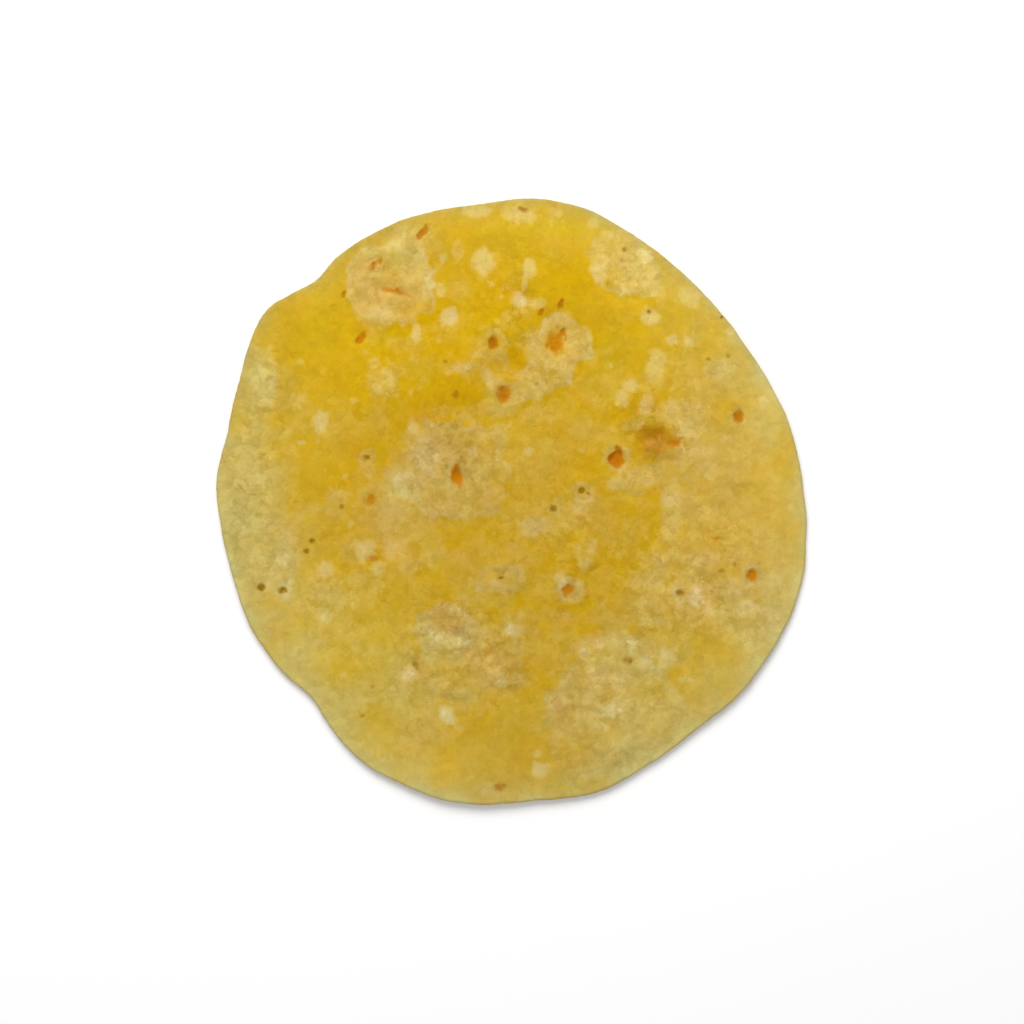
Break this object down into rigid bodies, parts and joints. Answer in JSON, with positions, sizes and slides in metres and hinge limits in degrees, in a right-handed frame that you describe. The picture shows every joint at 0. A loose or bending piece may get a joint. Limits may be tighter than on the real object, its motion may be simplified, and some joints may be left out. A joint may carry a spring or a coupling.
{
  "type": "tortilla",
  "caption": "Round griddled yellow tortilla lying flat, with an uneven outline, puffed pale blisters, small toasted pits and a slightly curled rim.",
  "frame": {"origin": "middle of the bounding box, on the flat underside", "axes": "+Z out of the blistered face that the picture shows, +X to that face's right and +Y to its top as pictured"},
  "size_m": [0.1598, 0.164, 0.0041],
  "materials": {
    "dough": "griddled dough, golden yellow with pale blisters and small toasted spots, slightly oily satin"
  },
  "bodies": {
    "root": {"tortilla": "dough"}
  },
  "joints": []
}
